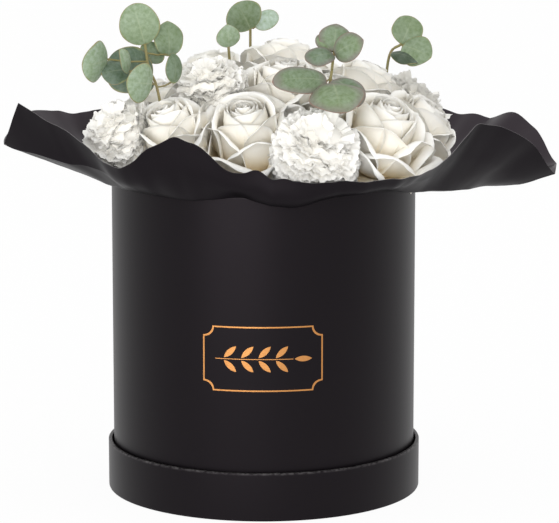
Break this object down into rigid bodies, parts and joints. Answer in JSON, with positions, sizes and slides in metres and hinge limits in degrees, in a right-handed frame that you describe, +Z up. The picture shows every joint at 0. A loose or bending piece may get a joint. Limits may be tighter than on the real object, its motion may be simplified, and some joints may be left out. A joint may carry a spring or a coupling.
{
  "type": "flower box",
  "caption": "Round black card flower box standing in its own lid, with a flared paper collar and a dome of white roses, carnations and eucalyptus.",
  "frame": {"origin": "centre of the lid's underside, which is the face that rests on the table", "axes": "+Z up along the axis of the box, -Y towards the side with the foil emblem, +X to the right seen from there"},
  "size_m": [0.3639, 0.2398, 0.3245],
  "materials": {
    "cover_paper": "satin black",
    "lining_paper": "matt black",
    "board": "raw grey board",
    "foil": "copper foil stamping",
    "cup_plastic": "matt black",
    "foam": "dry floral foam",
    "collar_paper": "coated black, slight sheen",
    "rose_petals": "soft white",
    "carnation_petals": "soft white",
    "eucalyptus": "waxy grey-green"
  },
  "bodies": {
    "lid": {"lid_face_paper": "cover_paper", "lid_board_disc": "board", "lid_board_band": "board", "lid_cover_paper": "cover_paper", "lid_lining": "lining_paper"},
    "box": {"box_base_paper": "cover_paper", "box_base": "board", "box_tube": "board", "box_cover_paper": "cover_paper", "box_lining": "lining_paper", "foil_emblem": "foil"},
    "arrangement": {"liner_cup": "cup_plastic", "foam_lower": "foam", "foam_upper": "foam", "paper_collar": "collar_paper", "rose_01": "rose_petals", "rose_02": "rose_petals", "rose_03": "rose_petals", "rose_04": "rose_petals", "rose_05": "rose_petals", "rose_06": "rose_petals", "rose_07": "rose_petals", "rose_08": "rose_petals", "rose_09": "rose_petals", "rose_10": "rose_petals", "rose_11": "rose_petals", "rose_12": "rose_petals", "rose_13": "rose_petals", "carnation_1": "carnation_petals", "carnation_2": "carnation_petals", "carnation_3": "carnation_petals", "carnation_4": "carnation_petals", "carnation_5": "carnation_petals", "eucalyptus_left": "eucalyptus", "eucalyptus_back_left": "eucalyptus", "eucalyptus_top": "eucalyptus", "eucalyptus_centre": "eucalyptus", "eucalyptus_right": "eucalyptus"}
  },
  "joints": [
    {"name": "box_lift", "type": "slide", "parent": "lid", "child": "box", "axis": [0, 0, 1], "range_m": [0, 0.06]},
    {"name": "arrangement_lift", "type": "slide", "parent": "box", "child": "arrangement", "axis": [0, 0, 1], "range_m": [0, 0.21]}
  ]
}
